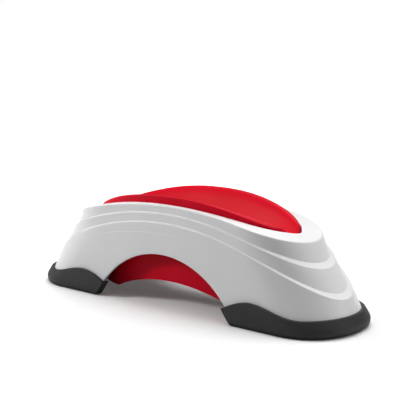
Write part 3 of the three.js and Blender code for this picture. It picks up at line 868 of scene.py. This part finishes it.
class Value:
    """A shader socket that takes part in sums like a number."""

    def __init__(self, paint, socket):
        self.paint = paint
        self.socket = socket

    def _with(self, operation, other):
        return self.paint.add("ShaderNodeMath", {"operation": operation}, [self, other])

    def __add__(self, other):
        return self._with("ADD", other)

    def __mul__(self, other):
        return self._with("MULTIPLY", other)

    __radd__ = __add__
    __rmul__ = __mul__


class Paint:
    """The shader of a material or of the world, built node by node."""

    def __init__(self, owner, shader="Principled BSDF"):
        owner.use_nodes = True
        self.owner = owner
        self.tree = owner.node_tree
        self.surface = self.tree.nodes[shader]

    def add(self, kind, settings=None, inputs=None, output=0):
        """Adds a node, first with its settings, then with values or links on its sockets."""
        node = self.tree.nodes.new(kind)
        for key, setting in (settings or {}).items():
            if key == "stops":
                ramp = node.color_ramp
                for element, (place, color) in zip(ramp.elements, setting):
                    element.position = place
                    element.color = color
            else:
                setattr(node, key, setting)
        pairs = inputs.items() if isinstance(inputs, dict) else enumerate(inputs or [])
        for key, given in pairs:
            self.put(node.inputs[key], given)
        return Value(self, node.outputs[output])

    def put(self, socket, given):
        if isinstance(given, Value):
            self.tree.links.new(given.socket, socket)
        else:
            socket.default_value = given

    def set(self, **sockets):
        for name, given in sockets.items():
            self.put(self.surface.inputs[name.replace("_", " ")], given)

    def place(self):
        return self.add("ShaderNodeTexCoord", output="Object")

    def noise(self, scale, detail=2.0, stretch=None):
        place = self.place()
        if stretch:
            place = self.add("ShaderNodeMapping", inputs={"Vector": place, "Scale": stretch})
        return self.add(
            "ShaderNodeTexNoise", {"noise_dimensions": "3D"},
            {"Vector": place, "Scale": scale, "Detail": detail},
        )

    def blend(self, share, first, second):
        return self.add(
            "ShaderNodeMix", {"data_type": "RGBA"}, {0: share, 6: first, 7: second}, output=2
        )

    def ramp(self, value, low, high):
        stops = [(low, (0, 0, 0, 1)), (high, (1, 1, 1, 1))]
        return self.add("ShaderNodeValToRGB", {"stops": stops}, [value])

    def mottled(self, cloud, tones, low=0.3, high=0.7):
        """A colour that drifts slightly between two tones."""
        return self.blend(self.ramp(cloud, low, high), *tones)

    def relief(self, height, depth):
        """Fine relief of a height pattern, as deep as the depth in millimetres."""
        return self.add("ShaderNodeBump", inputs={"Height": height, "Distance": depth * MM})

    def seen(self, *rays):
        """1 for the rays that see the surface and 0 for the light that it throws."""
        share = self.add("ShaderNodeLightPath", output="Is Camera Ray")
        for ray in rays:
            other = self.add("ShaderNodeLightPath", output=ray)
            share = self.add("ShaderNodeMath", {"operation": "MAXIMUM"}, [share, other])
        return share


def rgb(red, green, blue):
    return (red, green, blue, 1.0)


def painted(name):
    return Paint(bpy.data.materials.new(name))


COVER_TONES = rgb(0.83, 0.833, 0.84), rgb(0.868, 0.868, 0.872)
CRADLE_TONES = rgb(0.68, 0.003, 0.018), rgb(0.74, 0.004, 0.024)
RUBBER_TONES = rgb(0.0245, 0.0245, 0.025), rgb(0.035, 0.035, 0.0355)
# Painted contact shadow: near-black colour on the rubber along its bottom edge, up to a height in
# millimetres
PAINTED_FLOOR_SHADE_BLACK = rgb(0.003, 0.003, 0.003)
PAINTED_FLOOR_SHADE_HEIGHT = 4.0
STRUCTURE_TONES = rgb(0.08, 0.087, 0.095), rgb(0.1, 0.108, 0.117)
BEARING_TONES = rgb(0.02, 0.022, 0.025), rgb(0.03, 0.032, 0.036)
STEEL_TONES = rgb(0.42, 0.43, 0.45), rgb(0.55, 0.56, 0.58)


def cover_plastic():
    """White moulding with a satin gloss and a slight waviness."""
    paint = painted("white satin moulding")
    cloud = paint.noise(18.0, detail=3.0)
    grain = paint.noise(1400.0)
    waves = paint.noise(130.0, detail=1.0)
    paint.set(
        Base_Color=paint.mottled(cloud, COVER_TONES),
        Roughness=0.38 + 0.06 * cloud + 0.03 * grain,
        Normal=paint.relief(grain * 0.35 + waves, 0.03),
        Coat_Weight=0.12,
        Coat_Roughness=0.2,
    )
    return paint.owner


def cradle_plastic():
    """Deep red moulding, almost without gloss."""
    paint = painted("deep red moulding")
    cloud = paint.noise(22.0, detail=3.0)
    grain = paint.noise(1500.0)
    paint.set(
        Base_Color=paint.mottled(cloud, CRADLE_TONES),
        Roughness=0.40 + 0.08 * cloud,
        Specular_IOR_Level=0.06,
        Normal=paint.relief(grain, 0.04),
    )
    return paint.owner


def boot_rubber():
    """Charcoal rubber, with a painted contact shadow that makes its bottom edge at the floor near-black.
    """
    paint = painted("charcoal rubber")
    cloud = paint.noise(40.0, detail=4.0)
    grain = paint.noise(2200.0, detail=3.0)
    height = paint.add("ShaderNodeSeparateXYZ", inputs=[paint.place()], output="Z")
    # Painted contact shadow: the rubber's colour turns near-black towards the floor
    above_painted_floor_shade = paint.ramp(height * (1 / (PAINTED_FLOOR_SHADE_HEIGHT * MM)), 0.55, 0.75)
    paint.set(
        Base_Color=paint.blend(above_painted_floor_shade, PAINTED_FLOOR_SHADE_BLACK, paint.mottled(cloud, RUBBER_TONES, low=0.35)),
        Roughness=0.55 + 0.12 * cloud,
        Specular_IOR_Level=0.3,
        Normal=paint.relief(grain, 0.08),
    )
    return paint.owner


def structural_plastic(name, tones):
    """Matt plastic of the pieces inside."""
    paint = painted(name)
    cloud = paint.noise(60.0, detail=3.0)
    grain = paint.noise(1800.0)
    paint.set(
        Base_Color=paint.mottled(cloud, tones),
        Roughness=0.5 + 0.1 * cloud,
        Normal=paint.relief(grain, 0.06),
    )
    return paint.owner


def plated_steel():
    """Steel with fine turning marks."""
    paint = painted("plated steel")
    turned = paint.noise(500.0, stretch=(1.0, 1.0, 8.0))
    paint.set(
        Base_Color=paint.blend(turned, *STEEL_TONES),
        Metallic=1.0,
        Roughness=0.28 + 0.15 * turned,
    )
    return paint.owner


finishes = {
    "white_plastic": cover_plastic(),
    "red_plastic": cradle_plastic(),
    "rubber": boot_rubber(),
    "grey_plastic": structural_plastic("grey structural plastic", STRUCTURE_TONES),
    "dark_plastic": structural_plastic("dark bearing plastic", BEARING_TONES),
    "steel": plated_steel(),
}


def dress(piece, finish):
    piece.data.materials.clear()
    piece.data.materials.append(finishes[finish])


for piece, body, node, finish in (
    (cover, "base", "shell", "white_plastic"),
    (right_boot, "base", "boot_right", "rubber"),
    (left_boot, "base", "boot_left", "rubber"),
    (cradle, "carriage", "cradle", "red_plastic"),
):
    dress(piece, finish)
    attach(piece, body)
    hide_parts(node)

for part in frame["record"]["subparts"]:
    node = frame["nodes"][part["node"]]
    node.data.materials.clear()
    node.data.materials.append(finishes[part["material_slot"]])


# Studio, in metres: floor, lights and camera

FLOOR_SIZE = 12
FLOOR_DROP = 0.0002
FLOOR_GLOW = 0.08
FLOOR_FADE = (0.35, 0.95)
PAPER_TONES = rgb(0.87, 0.87, 0.87), rgb(0.89, 0.89, 0.89)
PAPER_THROWN = rgb(0.4, 0.4, 0.4)
BLACK = rgb(0, 0, 0)
WHITE = rgb(1, 1, 1)
WORLD_LEVEL = 0.08

# Each softbox: its name, place, target, width, height and power
SOFTBOXES = (
    ("rear overhead softbox", (-0.1, 0.8, 1.6), (0, 0, 0), 2.0, 2.0, 30.3),
    ("front overhead softbox", (-0.1, -0.1, 1.8), (0, 0, 0), 2.0, 2.0, 14.1),
    ("left softbox", (-1.1, -0.75, 0.66), (0, 0, 0.04), 0.28, 0.28, 10.7),
    ("right softbox", (1.4, 0.6, 0.25), (0, 0, 0.05), 0.6, 0.4, 4.6),
)

EYE = (0.5726, -0.6713, 0.2338)
TARGET = (0.01447, 0.0, 0.08506)
FOCAL_PIXELS = 997.2
FRAME_PIXELS = 416
SENSOR = 36.0
CLIP_END = 100.0


def stage_floor():
    """Pale paper that keeps the contact shadow and fades out to white further off."""
    deselect()
    bpy.ops.mesh.primitive_plane_add(size=FLOOR_SIZE, location=(0, 0, -FLOOR_DROP))
    floor = bpy.context.object
    floor.name = "studio_floor"
    settle()
    paint = painted("pale paper")
    fibre = paint.noise(300.0)
    away = paint.add(
        "ShaderNodeVectorMath", {"operation": "LENGTH"}, [paint.place()], output="Value"
    )
    seen = paint.seen("Is Glossy Ray", "Is Transmission Ray")
    glow = seen * (FLOOR_GLOW + (1.0 - FLOOR_GLOW) * paint.ramp(away, *FLOOR_FADE))
    paint.set(
        Base_Color=paint.blend(seen, PAPER_THROWN, paint.blend(fibre, *PAPER_TONES)),
        Roughness=0.9,
        Specular_IOR_Level=0.0,
        Emission_Color=paint.blend(glow, BLACK, WHITE),
        Emission_Strength=1.0,
    )
    floor.data.materials.append(paint.owner)


def studio_world():
    """Soft grey light all round, behind which the camera sees white."""
    world = bpy.data.worlds.new("studio")
    bpy.context.scene.world = world
    paint = Paint(world, "Background")
    seen = paint.seen("Is Transmission Ray")
    paint.set(Color=WHITE, Strength=seen * (1.0 - WORLD_LEVEL) + WORLD_LEVEL)


def aimed(name, data, place, target):
    """A lamp or camera at a place, turned to its target."""
    holder = bpy.data.objects.new(name, data)
    bpy.context.scene.collection.objects.link(holder)
    holder.location = place
    aim = Vector(target) - Vector(place)
    holder.rotation_euler = aim.to_track_quat("-Z", "Y").to_euler()
    return holder


def softbox(name, place, target, width, height, power):
    lamp = bpy.data.lights.new(name, "AREA")
    lamp.shape = "RECTANGLE"
    lamp.size = width
    lamp.size_y = height
    lamp.energy = power
    aimed(name, lamp, place, target)


stage_floor()
studio_world()
for lamp in SOFTBOXES:
    softbox(*lamp)

camera = bpy.data.cameras.new("photo camera")
camera.sensor_width = SENSOR
camera.lens = FOCAL_PIXELS / FRAME_PIXELS * SENSOR
camera.clip_end = CLIP_END
bpy.context.scene.camera = aimed("photo camera", camera, EYE, TARGET)
bpy.context.scene.view_settings.view_transform = "Standard"
